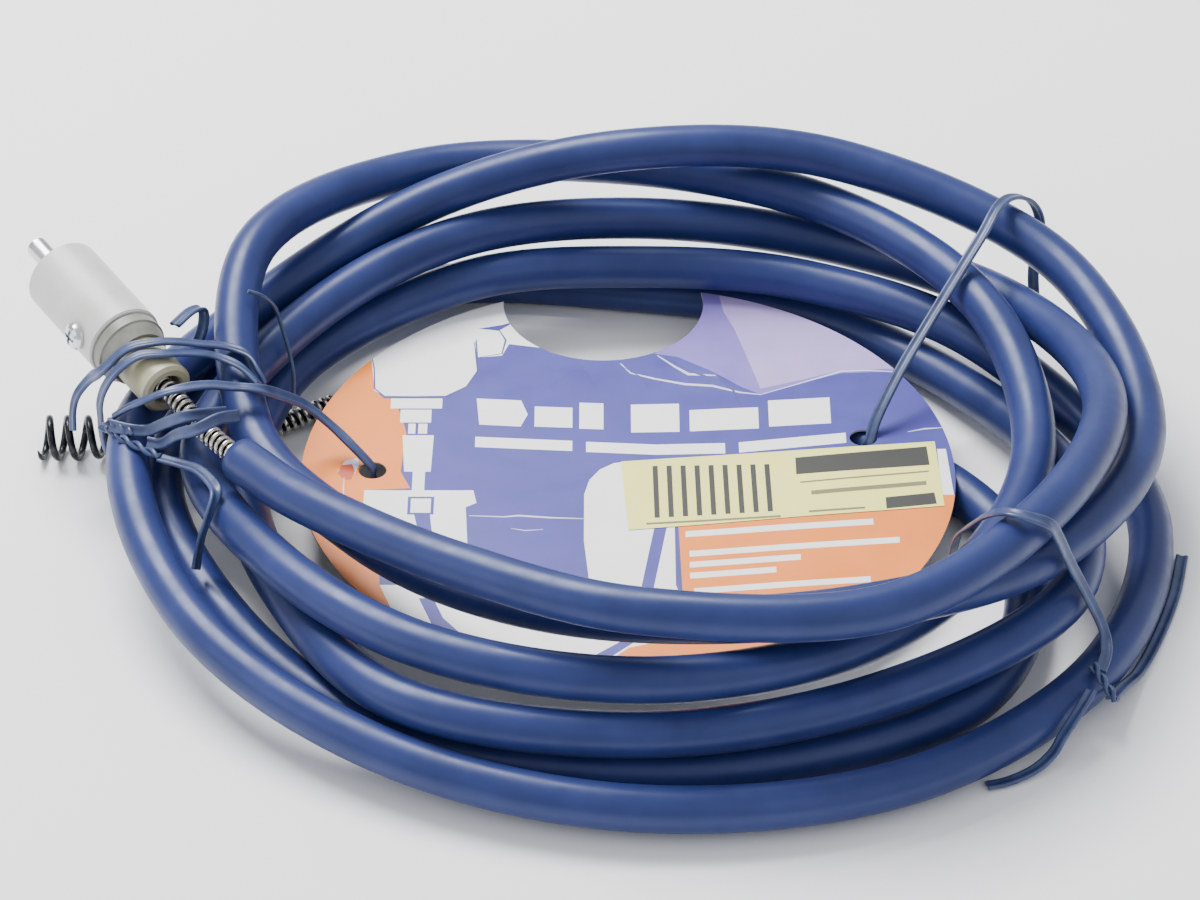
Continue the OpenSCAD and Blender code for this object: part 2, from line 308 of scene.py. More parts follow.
def coated_card_colour(name, colour, rough):
    """Coated card in one colour, with a slight mottle, tiny scratches and soft dents. Most colours
    are ink; the flap reflection, crease highlight and crease shade are painted light and shade.
    """
    m = Nodes(name)
    dark = tuple(c * (1 - INK_SPREAD) for c in colour)
    light = tuple(min(1.0, c * (1 + INK_SPREAD)) for c in colour)
    base = m.ramp(m.noise(55, 6, 0.6), dark, light)
    m.colour(m.mix(m.grey(m.noise(700, 6, 0.8), 0, 0.2, 0.66, 0.8), base, SCRATCH))
    m.rough(m.grey(m.noise(90, 5), rough - 0.08, rough + 0.1))
    m.bump([(m.noise(18, 3), 0.35, 1.2), (m.noise(900, 4), 0.12, 0.04)])
    return m.mat


# ---------------------------------------------------------------- the hose
# Turns of the hose round the coil's centre: angle in degrees, radius, and the height of its
# underside above the floor.
HOSE_TURNS = [
    (194, 114, 34), (210, 104, 37), (240, 99, 42), (270, 111, 46), (300, 128, 47),
    (330, 127, 44), (360, 131, 36), (390, 128, 24), (420, 120, 19), (450, 110, 24),
    (480, 109, 27), (510, 114, 22), (540, 124, 18), (570, 117, 24), (600, 116, 26),
    (630, 115, 26), (660, 112, 23), (690, 109, 21), (720, 112, 22), (750, 115, 30),
    (780, 118, 33), (810, 121, 36), (840, 133, 38), (870, 129, 44), (900, 110, 26),
    (930, 92, 24), (960, 90, 27), (990, 98, 33), (1020, 115, 38), (1050, 129, 30),
    (1080, 143, 25), (1110, 143, 34), (1140, 124, 46), (1170, 108, 50), (1200, 118, 37),
    (1230, 130, 22), (1260, 144, 22), (1290, 142, 13), (1320, 138, 6), (1350, 140, 3),
    (1380, 146, 2), (1410, 148, 1), (1440, 144, 0), (1470, 118, 13), (1500, 103, 15),
    (1530, 97, 15), (1560, 103, 15), (1590, 114, 8), (1620, 112, 8), (1650, 113, 10),
    (1680, 127, 15), (1710, 123, 14), (1740, 125, 15), (1770, 134, 16), (1800, 121, 9),
    (1830, 109, 2), (1860, 106, 0), (1890, 106, 0), (1920, 124, 1), (1950, 130, 7),
    (1980, 136, 8), (2010, 127, 2), (2040, 125, 0), (2070, 123, 1), (2095, 126, 1),
    (2113, 130, 2), (2130, 122, 1), (2147, 109, 0), (2164, 90, 0), (2184, 68, 0),
    (2210, 50, 0), (2245, 44, 0), (2278, 53, 0), (2295, 73, 0), (2305, 91, 0),
]
HOSE_R, BORE_R, CABLE_R = 6.35, 4.75, 3.175
HOSE_STEPS, HOSE_SIDES = 14, 28
LIP, LIP_OUT = 0.45, 0.25
# The rings that line each mouth: how many steps down the path, and radius. The first is the lip.
MOUTH = [(0, HOSE_R - LIP), (0, BORE_R), (1, BORE_R), (3, BORE_R), (6, BORE_R)]
# How far the hose is from round, and how quickly that changes along it.
OVAL, OVAL_RATE = 0.012, 0.02


def hose_path():
    path = smooth([polar((a, r, lift + HOSE_R)) for a, r, lift in HOSE_TURNS], HOSE_STEPS)
    path[:, 2] = np.maximum(path[:, 2], HOSE_R)
    return path


def build_hose(path, material):
    n, rows = HOSE_SIDES, len(path)
    length = along(path)

    def outer(i):
        oval = OVAL * noise.noise(Vector((length[i] * OVAL_RATE, 3.1, 0.0)))
        return [(x * (1 + oval), y * (1 - oval)) for x, y in circle(HOSE_R, n)]

    verts, faces = tube_data(path, UP, outer, cap=False)
    ahead, across, out = frames(path, UP)
    for end, step in ((0, 1), (rows - 1, -1)):
        previous = [end * n + k for k in range(n)]
        for where, (down, r) in enumerate(MOUTH):
            at = end + step * down
            base = len(verts)
            nudge = -ahead[end] * LIP_OUT * step if where == 0 else 0
            for x, y in circle(r, n):
                verts.append(path[at] + across[at] * x + out[at] * y + nudge)
            ring = [base + k for k in range(n)]
            for k in range(n):
                a, b, c, d = previous[k], previous[(k + 1) % n], ring[(k + 1) % n], ring[k]
                faces.append((b, a, d, c) if end == 0 else (a, b, c, d))
            previous = ring

    def uv(poly, k):
        row, col = divmod(poly.vertices[k], n)
        if poly.index < (rows - 1) * n and col == 0 and poly.index % n == n - 1:
            col = n
        return (col / n, length[min(row, rows - 1)] * MM)

    hose = new_object("hose_skin", verts, faces, uv)
    finish_piece(hose, "coil", material, "hose")
    route = place(path)


# ---------------------------------------------------------------- the cable and its ends
WIRE_R, WIRE_PITCH, WIRE_STEPS, WIRE_SIDES = 0.7, 2.4, 20, 8
# The near-black core under the wire, painted shade for the spring's hollow seen between its
# turns, and the rod where there is no wire.
CORE_R, CORE_SIDES = CABLE_R - 2 * WIRE_R + 0.15, 16
# Points nearer than this are the same point.
SAME_POINT = 0.01
# The wire goes on for about this many steps of the hose's path inside each mouth.
WOUND_INSIDE = 5
# The cable's route from the hose's far end to the tip.
TAIL = [(-87, 50, 5), (-97, 45, 4), (-108, 38, 3.5), (-120, 33, 3.5), (-129, 30, 5),
        (-137, 29, 7), (-141, 29, 7), (-144, 29, 7)]
TAIL_STEPS = 10
# The middle of the guide bush's front face, and the drive head's axis. The driven end of the
# cable is drawn from STUB_IN behind that face to STUB in front of it.
DRIVE_AT = np.array([-133.0, 3.5, 42.0])
TURN, RISE = math.radians(34), math.radians(5)
DRIVE_AXIS = np.array([-math.sin(TURN) * math.cos(RISE), math.cos(TURN) * math.cos(RISE),
                       math.sin(RISE)])
STUB, STUB_IN, STRAIGHT_STEP = 15.0, 12.0, 0.5
# The tip: its straight end, then a corkscrew whose pitch falls from the first value to the second.
TIP_AT, TIP_SHANK = np.array([-144.3, 29.0, 7.0]), 7.0
TIP_WIRE_R, TIP_SIDES, TIP_COIL_R, TIP_FIRST_R = 1.1, 12, 5.7, 2.0
TIP_TURNS, TIP_STEPS, TIP_PITCH, TIP_PITCH_END = 3.75, 30, 7.4, 4.2


def helix(path):
    """Centreline of the spring wire round a path, and the path's direction at each point."""
    s = along(path)
    _, across, out = frames(path, UP)
    inset = WIRE_R + 0.1
    count = int(s[-1] / WIRE_PITCH * WIRE_STEPS) + 1
    line, ahead = [], []
    for j in range(count):
        at = inset + (s[-1] - 2 * inset) * j / (count - 1)
        centre, x, y = (np.array([np.interp(at, s, rows[:, k]) for k in range(3)])
                        for rows in (path, across, out))
        a = 2 * math.pi * at / WIRE_PITCH
        line.append(centre + (x * math.cos(a) + y * math.sin(a)) * (CABLE_R - WIRE_R))
        ahead.append(np.cross(x, y))
    return np.array(line), np.array(ahead)


def cable_piece(name, core, stretches, body, spring, dark, node):
    """A near-black core, painted shade for the spring's hollow, with wire wound round the
    stretches of it that can be seen.

    Elsewhere the core fills the cable's diameter.
    """
    thin, full = circle(CORE_R, CORE_SIDES), circle(CABLE_R, CORE_SIDES)

    def section(i):
        wound = any(np.min(np.linalg.norm(line - core[i], axis=1)) < SAME_POINT
                    for line in stretches)
        return thin if wound else full

    verts, faces = tube_data(core, UP, section)
    plain = len(faces)
    for line in stretches:
        coil, ahead = helix(line)
        add_tube(verts, faces, coil, ahead, circle(WIRE_R, WIRE_SIDES))
    obj = new_object(name, verts, faces)
    finish_piece(obj, body, spring, node, 60)
    obj.data.materials.append(dark)
    for poly in obj.data.polygons[:plain]:
        poly.material_index = 1
    return obj


def build_cable(hose_line, spring, dark):
    lead = [DRIVE_AT - DRIVE_AXIS * (STUB + 0.1), DRIVE_AT - DRIVE_AXIS * (STUB + 4)]
    gap = smooth(lead + [hose_line[0], hose_line[HOSE_STEPS]], HOSE_STEPS)[:-HOSE_STEPS]
    tail = smooth([hose_line[-1 - HOSE_STEPS], hose_line[-1]] + TAIL, TAIL_STEPS)[TAIL_STEPS:]
    core = np.concatenate([gap, hose_line[1:-1], tail])
    front = np.concatenate([gap, hose_line[1:WOUND_INSIDE]])
    back = np.concatenate([hose_line[-1 - WOUND_INSIDE:-1], tail])
    cable = cable_piece("cable_spring", core, [front, back], "coil", spring, dark, "drain_cable")
    return cable, place(core)


def build_stub(spring, dark):
    reach = np.arange(STUB_IN, -STUB - 0.01, -STRAIGHT_STEP)
    line = np.array([DRIVE_AT + DRIVE_AXIS * s for s in reach])
    cable_piece("drive_spring", line, [line], "drive", spring, dark, "cable_drive_end")


def build_tip(spring, dark, tip_steel):
    reach = np.arange(0.0, TIP_SHANK + 0.01, STRAIGHT_STEP)
    line = np.array([TIP_AT - (s, 0, 0) for s in reach])
    shank = cable_piece("tip_spring", line, [line], "tip", spring, dark, "tip_shank")
    path, sizes = [], []
    count = int(TIP_TURNS * TIP_STEPS)
    for i in range(count + 1):
        t = i / TIP_STEPS
        grow = min(t / 0.8, 1.0)
        r = TIP_FIRST_R + (TIP_COIL_R - TIP_FIRST_R) * grow * grow * (3 - 2 * grow)
        a = math.radians(90 - 360 * t)
        x = TIP_PITCH * t + (TIP_PITCH_END - TIP_PITCH) * t * t / TIP_TURNS / 2
        path.append(TIP_AT + (-TIP_SHANK - TIP_WIRE_R - x, r * math.cos(a), r * math.sin(a)))
        sizes.append(TIP_WIRE_R * min(1.0, 0.25 + (count - i) / 7, 0.6 + i / 8))

    verts, faces = tube_data(np.array(path), (1, 0, 0), lambda i: circle(sizes[i], TIP_SIDES))
    screw = new_object("corkscrew_wire", verts, faces)
    finish_piece(screw, "tip", tip_steel, "corkscrew_tip", 60)
    return [shank, screw]


# ---------------------------------------------------------------- ties
# Routes of the flat ties and the thin wire, and the way the width points.
TIES = {
    "card_tie_right": ((0.8, -0.6, 0), [
        (67, 20, 13), (69, 24, 18), (76, 35, 27), (86, 49, 37), (95, 61, 46), (101, 70, 51),
        (106, 80, 54), (111, 87, 53), (117, 92, 48), (120, 92, 41), (119, 88, 34),
        (118, 83, 29), (118, 77, 24)]),
    "bundle_tie_right": ((0.62, 0.78, 0), [
        (86, -50, 24), (87, -54, 34), (90, -62, 44), (93, -70, 53), (97, -78, 60),
        (103, -81, 60.5), (109, -80, 57), (112, -77, 50), (115, -73, 41), (119, -72, 32),
        (123, -73, 24), (126, -76, 18), (126, -83, 16), (124, -89, 15)]),
    "bundle_tie_right_under": ((0.5, -0.85, 0.1), [
        (121, -96, 13.5), (117, -103, 11.5), (113, -108, 8), (110, -111, 4), (105, -115, 1.8),
        (98, -119, 1.2), (92, -121, 1.2)]),
    "bundle_tie_right_tail": ((0.94, -0.33, 0), [
        (127, -94, 9), (131, -85, 6), (137, -73, 2), (144, -56, 1), (150, -38, 1),
        (154, -20, 1)]),
    "bundle_tie_left": ((-0.45, 0.9, 0), [
        (-161.5, 9, 24), (-161.5, 12, 29), (-160, 13, 34), (-156, 13, 39.5), (-152, 9, 45),
        (-145, 11, 51), (-138, 12, 52.5), (-131, 14, 51.5), (-124, 17, 48.5), (-118, 19, 46.5),
        (-112, 17, 45.5), (-108, 11, 43.5), (-106, 8, 41)]),
    "bundle_tie_left_lower": ((-0.4, 0.9, 0), [
        (-148, 9, 9), (-152, 11, 13), (-153.5, 11, 20), (-153.5, 10, 28), (-153, 7, 35),
        (-151, 5, 42), (-147, 5, 48), (-141, 7, 51.5), (-134, 8, 51.5), (-127, 12, 49),
        (-120, 14, 46.5), (-113, 11, 45), (-107.5, 6, 42.5)]),
    "bundle_tie_left_drop": ((0.5, 0.85, 0), [
        (-134, -18, 34), (-128, -22, 35), (-123, -26, 36), (-119, -32, 36.5),
        (-117, -38, 36.5), (-119, -44, 32.5), (-121, -46.5, 27), (-122, -48.5, 22.5),
        (-122.5, -50.5, 19.6)]),
    "bundle_tie_left_end": ((0.85, -0.5, 0), [
        (-132, 23, 51), (-128, 30, 51), (-125, 34, 49), (-125, 33, 44), (-127, 32, 38)]),
    "card_tie_left": ((0.2, 1, 0), [
        (-149, 0, 35), (-144, -2, 40), (-138, -5, 45), (-131, -5, 48), (-122, -1, 47),
        (-114, 1, 45), (-107, 2, 43.5), (-101, 8, 37), (-95, 13, 30), (-88, 13, 23),
        (-81.5, 8, 19), (-76, 4, 14.5)]),
    "knot_tie_left": ((0, 0.6, 0.8), [
        (-149, -5, 36), (-143, -8, 36.5), (-138, -9, 37), (-133, -12, 41.5), (-127, -15, 46),
        (-121, -13, 45.5), (-116, -8, 42.5)]),
    "knot_tie_left_lower": ((0, 0.6, 0.8), [
        (-138, -12, 35), (-134, -14, 36), (-129, -18, 42), (-123, -21, 46), (-117, -18, 47.5),
        (-112, -13, 45)]),
    "twist_wire": ((0.5, 0.85, 0), [
        (-112, 38, 52.5), (-108, 39, 50), (-105, 43, 43.5), (-103, 42, 36.5), (-101, 39, 30),
        (-100, 36, 25), (-100, 34, 19)]),
}
# The card ties run on down through the card's holes: points before and after the route.
THROUGH_CARD = {
    "card_tie_right": ([(65, 19, 9)], []),
    "card_tie_left": ([], [(-76, 3.6, 12), (-75.5, 3.5, 9)]),
}
# The twisted knots of the ties: node, from, to.
KNOTS = [
    ("knot_tie_left", (-150, -3, 36), (-142, -9, 36)),
    ("bundle_tie_left_drop", (-146, -9, 34.5), (-134, -18, 34.5)),
    ("knot_tie_left_lower", (-152, -1, 33), (-143, -10, 34)),
    ("bundle_tie_right_tail", (122, -88, 16), (128, -96, 10)),
]
KNOT_TURNS, KNOT_STEPS, KNOT_R, STRAND_R = 1.5, 20, 0.75, 0.7
# A tie's width and thickness, half of its thin web, and the arc of each round rib.
TIE_W, TIE_T, TIE_STEPS = 3.6, 1.2, 7
WEB_X, WEB_Y = 0.45, 0.26
RIB_STEPS, RIB_TURN = 6, 250
THIN_WIRE_R, THIN_SIDES = 0.6, 8


def tie_section():
    """Two round ribs joined by a thin web, as (across, out) points."""
    rib = TIE_T / 2
    middle = TIE_W / 2 - rib
    points = []
    for sign in (1, -1):
        points.append((sign * WEB_X, -sign * WEB_Y))
        for k in range(RIB_STEPS + 1):
            a = math.radians(-RIB_TURN / 2 + k * RIB_TURN / RIB_STEPS)
            points.append((sign * (middle + rib * math.cos(a)), sign * rib * math.sin(a)))
        points.append((sign * WEB_X, sign * WEB_Y))
    return points


def twist(a, b):
    """Two strands wound round each other from a to b, and the way from a to b."""
    a, b = np.array(a, float), np.array(b, float)
    axis = (b - a) / np.linalg.norm(b - a)
    x = np.cross(axis, (0.0, 0.0, 1.0))
    x /= np.linalg.norm(x)
    y = np.cross(axis, x)
    steps = int(KNOT_TURNS * KNOT_STEPS)
    strands = []
    for start in (0, math.pi):
        strand = []
        for k in range(steps + 1):
            turn = start + 2 * math.pi * KNOT_TURNS * k / steps
            strand.append(a + (b - a) * k / steps
                          + (x * math.cos(turn) + y * math.sin(turn)) * KNOT_R)
        strands.append(np.array(strand))
    return strands, axis


def build_ties(strap, thin):
    for name, (side, route) in TIES.items():
        wire = name == "twist_wire"
        before, after = THROUGH_CARD.get(name, ([], []))
        path = smooth(before + route + after, TIE_STEPS)
        section = circle(THIN_WIRE_R, THIN_SIDES) if wire else tie_section()
        verts, faces = tube_data(path, side, section)
        for where, a, b in KNOTS:
            if where == name:
                strands, axis = twist(a, b)
                for strand in strands:
                    add_tube(verts, faces, strand, axis, circle(STRAND_R, THIN_SIDES))
        tie = new_object(name + "_plastic", verts, faces)
        finish_piece(tie, "coil", thin if wire else strap,
                     name, 50)


# ---------------------------------------------------------------- the printed card
# The disc, the bite out of its edge and its punched holes; CARD_TOP is the height of its face.
CARD_AT, CARD_R, CARD_TOP, CARD_T = (-3.0, 3.5), 93.5, 13.7, 0.6
NOTCH, NOTCH_R = (-10.0, 88.5), 30.0
PUNCHED, PUNCH_R = [(-76.0, 3.5), (65.0, 19.5)], 4.0
CARD_SIDES, NOTCH_SIDES, PUNCH_SIDES = 240, 96, 32
STICKER_GAP, STICKER_T = 0.05, 0.15
# Spacing of the mesh's points.
GRID = 4.0

# Colours as screen values from 0 to 255. The two lavenders are painted reflection on the card's
# bent-up flap; the pale crease colour is painted highlight along creases and also the torn
# edge's pale paper; the dark shade colour is printed outline on the drawing and also painted
# shade beside creases.
VIOLET, FLAP_REFLECTION, FLAP_BRIGHT_REFLECTION = (67, 66, 152), (130, 114, 192), (176, 156, 212)
ORANGE, DEEP_ORANGE, RED = (246, 134, 40), (226, 106, 32), (196, 84, 52)
WHITE, CREASE_HIGHLIGHT_AND_TORN_EDGE, OUTLINE_INK_AND_CREASE_SHADE = (254, 254, 254), (214, 210, 232), (66, 66, 128)
YELLOW, INK, GREY_INK = (246, 244, 136), (48, 48, 44), (120, 120, 84)


def box(x0, y0, x1, y1, slope=0.0):
    """A bar whose ends stand upright and whose long sides rise by slope."""
    rise = slope * (x1 - x0)
    return [(x0, y0), (x1, y0 + rise), (x1, y1 + rise), (x0, y1)]


def stroke(points, width):
    """A thin strip along a line of points, narrower at its ends."""
    p = np.array(points, float)
    ahead = np.gradient(p, axis=0)
    ahead /= np.linalg.norm(ahead, axis=1)[:, None]
    out = np.stack([-ahead[:, 1], ahead[:, 0]], 1)
    taper = np.interp(np.arange(len(p)), [0, len(p) / 2, len(p) - 1], [0.3, 1, 0.3])[:, None]
    half = out * width / 2 * taper
    return [tuple(q) for q in p + half] + [tuple(q) for q in (p - half)[::-1]]


def stripe(x):
    """One of the sticker's even stripes."""
    low, high = -19.6 + 0.09 * x, 5.2 + 0.03 * x
    return [(x, high), (x + 1.5, high + 0.1), (x + 1.9, low), (x + 0.4, low - 0.1)]


# Plain shapes on the card, in the order they are laid down: (colour, polygon). Most are print;
# the lavender flap is painted reflection, and the strokes along the creases are painted
# highlight and painted shade.
CARD_SHAPES = [
    (ORANGE, [(-110, 80), (-79, 66), (-77, 43), (-74, 39), (-71, 39), (-68, 27), (-67, 22),
        (-68, 3), (-65, -5), (-78, -6), (-78, -12), (-73, -35), (-72, -50), (-67, -65),
        (-60, -100), (-110, -100)]),
    # Painted reflection: the bent-up flap at the back, lavender where it catches the light and
    # paler where it catches most.
    (FLAP_REFLECTION, [(17, 99), (15, 80), (12, 70), (5, 62), (12, 60), (22, 52), (30, 45), (36, 41),
        (48, 47), (60, 52), (78, 53), (60, 99)]),
    (FLAP_BRIGHT_REFLECTION, [(24, 99), (26, 84), (29, 75), (32, 62), (36, 44), (48, 48.5), (60, 53.5),
        (78, 54.5), (70, 99)]),
    (WHITE, [(-72, -50), (-60, -50), (-30, -58), (20, -62), (20, -100), (-60, -100), (-67, -65)]),
    (ORANGE, [(11, -18), (12, -60), (14, -72), (3, -76), (-3, -78), (-9, -84), (-8, -100),
        (100, -100), (100, -8), (87, -8), (60, -14)]),
    (VIOLET, [(-61, -56), (-57, -56), (-54, -65), (-46, -76), (-50, -78), (-57, -68)]),
    (VIOLET, [(-18, -86), (-5, -75), (-1, -75), (-12, -86)]),
    (WHITE, [(-79, 64), (-95, 80), (-70, 99), (-38, 99), (-38, 88), (-36, 79), (-40, 77),
        (-47, 75), (-48, 68), (-47, 53), (-50, 45), (-56, 40), (-74, 40), (-77, 43)]),
    (WHITE, [(-47, 60), (-48, 75), (-41, 74), (-37, 78), (-34, 71), (-28, 65), (-33, 66),
        (-38, 67), (-40, 61)]),
    (OUTLINE_INK_AND_CREASE_SHADE, stroke([(-79, 64), (-77.5, 54), (-77, 44), (-74, 40), (-65, 39.8), (-56, 40),
        (-50, 45), (-47, 53), (-47.8, 62), (-48.3, 68)], 0.9)),
    (OUTLINE_INK_AND_CREASE_SHADE, stroke([(-47, 75), (-41, 74), (-39, 69), (-40, 62), (-47, 60)], 0.7)),
    (WHITE, box(-72, 34, -57, 39)),
    (WHITE, box(-69, 27, -60, 33.4)),
    (WHITE, box(-66.5, 21.5, -61, 26.4)),
    (OUTLINE_INK_AND_CREASE_SHADE, box(-64.4, 21.5, -63.6, 26.4)),
    (WHITE, [(-68, 20.7), (-59, 20.7), (-59.4, 3), (-67, 3)]),
    (WHITE, box(-64.5, -9, -61, 3)),
    (WHITE, [(-78, -6), (-47, -6), (-46, -12), (-49, -14), (-48, -34), (-58, -29), (-76, -14),
        (-78, -12)]),
    (VIOLET, box(-65.5, -17.5, -58, -9)),
    (WHITE, box(-64.6, -16.6, -58.9, -9.9)),
    (VIOLET, [(-63.5, -17.5), (-59, -17.5), (-58, -28), (-62, -26)]),
    (WHITE, [(-2, 8), (-7, 7), (-11, 4), (-14, -1), (-15.5, -8), (-15.5, -30), (-14, -48),
        (-14, -58), (12, -58), (10, -50), (10, -20), (0, -20)]),
    (VIOLET, [(4.5, -22), (8, -22), (3.5, -54), (0, -54)]),
    (OUTLINE_INK_AND_CREASE_SHADE, stroke([(10.2, -22), (10.6, -35), (11, -45), (11.6, -56)], 1.0)),
    (WHITE, [(86, 14), (88.5, 14), (89.5, -8), (86, -8)]),
    (WHITE, [(-46, 26), (-47, 39), (-34, 38), (-32, 31), (-34, 25)]),
    (WHITE, box(-30, 25, -19, 35, -0.05)),
    (WHITE, box(-17, 24, -10, 37, -0.05)),
    (WHITE, box(-2, 22, 12, 36, 0.02)),
    (WHITE, box(15, 22.5, 35, 33, 0.08)),
    (WHITE, box(38, 25, 56, 38, 0.1)),
    (WHITE, [(-47, 15), (-47, 20), (-19, 18), (-19, 13)]),
    (WHITE, [(-15, 12.5), (-15, 17.5), (5, 16), (25, 16.8), (25, 11.8), (5, 11)]),
    (WHITE, [(29, 12.2), (29, 17.2), (60, 22), (60, 17)]),
    (WHITE, box(13, -28, 66, -25.3, 0.11)),
    (WHITE, box(14, -37, 73, -34.4, 0.11)),
    (WHITE, box(14, -42, 45, -39.4, 0.11)),
    (WHITE, box(14, -47, 38, -44.4, 0.11)),
    (WHITE, box(15, -54, 64, -51.4, 0.11)),
    (DEEP_ORANGE, box(4, -82.5, 46, -81.5, 0.03)),
    # Pale strokes along the creases, here and below, are painted highlight on the crease ridges.
    (CREASE_HIGHLIGHT_AND_TORN_EDGE, stroke([(-48, -18), (-38, -18.6), (-34, -18), (-25, -19), (-15, -19.5)], 0.9)),
    (CREASE_HIGHLIGHT_AND_TORN_EDGE, stroke([(-36, -24), (-32, -25), (-27, -24.5)], 0.5)),
    (CREASE_HIGHLIGHT_AND_TORN_EDGE, stroke([(-5, 57), (-2, 52), (5, 49), (14, 46), (22, 45), (30, 42), (36, 41)], 1.1)),
    (CREASE_HIGHLIGHT_AND_TORN_EDGE, stroke([(6, 61), (11, 55), (15, 51), (23, 50)], 1.2)),
    # Dark strokes beside the creases: painted shade.
    (OUTLINE_INK_AND_CREASE_SHADE, stroke([(8, 61), (13, 55), (18, 51), (25, 47)], 1.0)),
    (OUTLINE_INK_AND_CREASE_SHADE, stroke([(-4, 55), (1, 50), (4, 43)], 0.6)),
    (OUTLINE_INK_AND_CREASE_SHADE, stroke([(24, 48), (28, 43), (30, 35)], 0.9)),
    (OUTLINE_INK_AND_CREASE_SHADE, stroke([(-20, 62), (-15, 52), (-12, 44)], 0.4)),
    (OUTLINE_INK_AND_CREASE_SHADE, stroke([(-15, 56), (-21, 51), (-28, 42)], 0.4)),
    (CREASE_HIGHLIGHT_AND_TORN_EDGE, stroke([(36, 41), (48, 47), (60, 53), (68, 53.5), (76, 52.5)], 0.8)),
    (CREASE_HIGHLIGHT_AND_TORN_EDGE, stroke([(78, 22.5), (83, 24), (88, 24.5)], 0.9)),
    # The torn scrap: its pale paper edge, then its red face.
    (CREASE_HIGHLIGHT_AND_TORN_EDGE, [(-86, 3), (-84, 8), (-80.5, 9.5), (-80, 6), (-81, 2), (-83, 0)]),
    (RED, [(-86, 2), (-85, 6), (-82, 6.5), (-81, 3), (-82, -1), (-84, -1)]),
    (CREASE_HIGHLIGHT_AND_TORN_EDGE, stroke([(-84, 0), (-84, -6), (-83.5, -10)], 0.6)),
]
STICKER = [(-5, 7.5), (85.5, 17.5), (86.5, -13.5), (-3, -25)]
STICKER_SHAPES = [
    (INK, [(45, 1.2), (45, 9.4), (83, 15), (83.4, 6)]),
    (INK, [(70, -15), (70, -9.6), (84, -7.2), (84.4, -12.6)]),
    (GREY_INK, box(46, -3, 83, -2.2, 0.15)),
    (GREY_INK, box(49, -8.6, 82, -6.6, 0.15)),
    (GREY_INK, box(48, -17, 64, -16, 0.12)),
    (GREY_INK, box(2, -22.6, 40, -21.6, 0.09)),
] + [(INK, stripe(x)) for x in range(4, 40, 4)]


def linear(colour):
    """From 0-255 screen values to the shader's linear ones."""
    return tuple((c / 255 / 12.92) if c < 11 else ((c / 255 + 0.055) / 1.055) ** 2.4
                 for c in colour)


def lift(x, y):
    """How far the card bulges up at a point: a slow wave, and a crumple near its back edge."""
    wave = 0.22 + 0.22 * noise.noise(Vector((x / 38, y / 38, 4.2)))
    fold = math.hypot((x - 24) / 22, (y - 55) / 14)
    crumple = 0.5 * max(0.0, 1 - fold) * (1 + noise.noise(Vector((x / 7, y / 7, 1.0))))
    return wave + crumple


def circle_at(centre, r, n):
    return [(centre[0] + x, centre[1] + y) for x, y in circle(r, n)]


def inside(point, polygon):
    x, y = point
    hit = False
    for (x0, y0), (x1, y1) in zip(polygon, polygon[1:] + polygon[:1]):
        if (y0 > y) != (y1 > y) and x < (x1 - x0) * (y - y0) / (y1 - y0) + x0:
            hit = not hit
    return hit


def divided(loops, outline):
    """Points and edges along the loops, and a grid of points inside the outline."""
    points, edges = [], []
    for loop in loops:
        first = len(points)
        for (x0, y0), (x1, y1) in zip(loop, loop[1:] + loop[:1]):
            n = max(1, int(math.hypot(x1 - x0, y1 - y0) / GRID))
            points += [Vector((x0 + (x1 - x0) * k / n, y0 + (y1 - y0) * k / n))
                       for k in range(n)]
        last = len(points)
        edges += [(k, k + 1 if k + 1 < last else first) for k in range(first, last)]
    xs, ys = [p[0] for p in outline], [p[1] for p in outline]
    y = min(ys)
    while y < max(ys):
        x = min(xs)
        while x < max(xs):
            if inside((x, y), outline):
                points.append(Vector((x, y)))
            x += GRID
        y += GRID
    return points, edges


def flat_coloured_sheet(name, outline, holes, shapes, bottom, thick):
    """A thin sheet with its top split along its coloured shapes.

    Returns the object and its colours in the order of their material slots. The first, None,
    is the plain top, and the slot after the last is for the underside and the edges.
    """
    points, edges = divided([outline] + holes + [s for _, s in shapes], outline)
    flat, _, tris, _, _, _ = delaunay_2d_cdt(points, edges, [], 0, 1e-5)
    kept, slots, colours = [], [], [None]
    for tri in tris:
        middle = tuple(sum((flat[k] for k in tri), Vector((0, 0))) / 3)
        if not inside(middle, outline) or any(inside(middle, h) for h in holes):
            continue
        colour = None
        for c, polygon in shapes:
            if inside(middle, polygon):
                colour = c
        if colour not in colours:
            colours.append(colour)
        kept.append(tuple(tri))
        slots.append(colours.index(colour))
    used = sorted({k for tri in kept for k in tri})
    new = {k: i for i, k in enumerate(used)}
    kept = [tuple(new[k] for k in tri) for tri in kept]
    top = [(flat[k][0], flat[k][1], bottom + thick + lift(flat[k][0], flat[k][1]))
           for k in used]
    under = [(x, y, z - thick) for x, y, z in top]
    n = len(top)
    sides = {(a, b) for tri in kept for a, b in zip(tri, tri[1:] + tri[:1])}
    faces = kept + [tuple(k + n for k in tri[::-1]) for tri in kept]
    for tri in kept:
        for a, b in zip(tri, tri[1:] + tri[:1]):
            if (b, a) not in sides:
                faces.append((b, a, a + n, b + n))
    obj = new_object(name, top + under, faces)
    for k, poly in enumerate(obj.data.polygons):
        poly.material_index = slots[k] if k < len(kept) else len(colours)
        poly.use_smooth = k < 2 * len(kept)
    return obj, colours


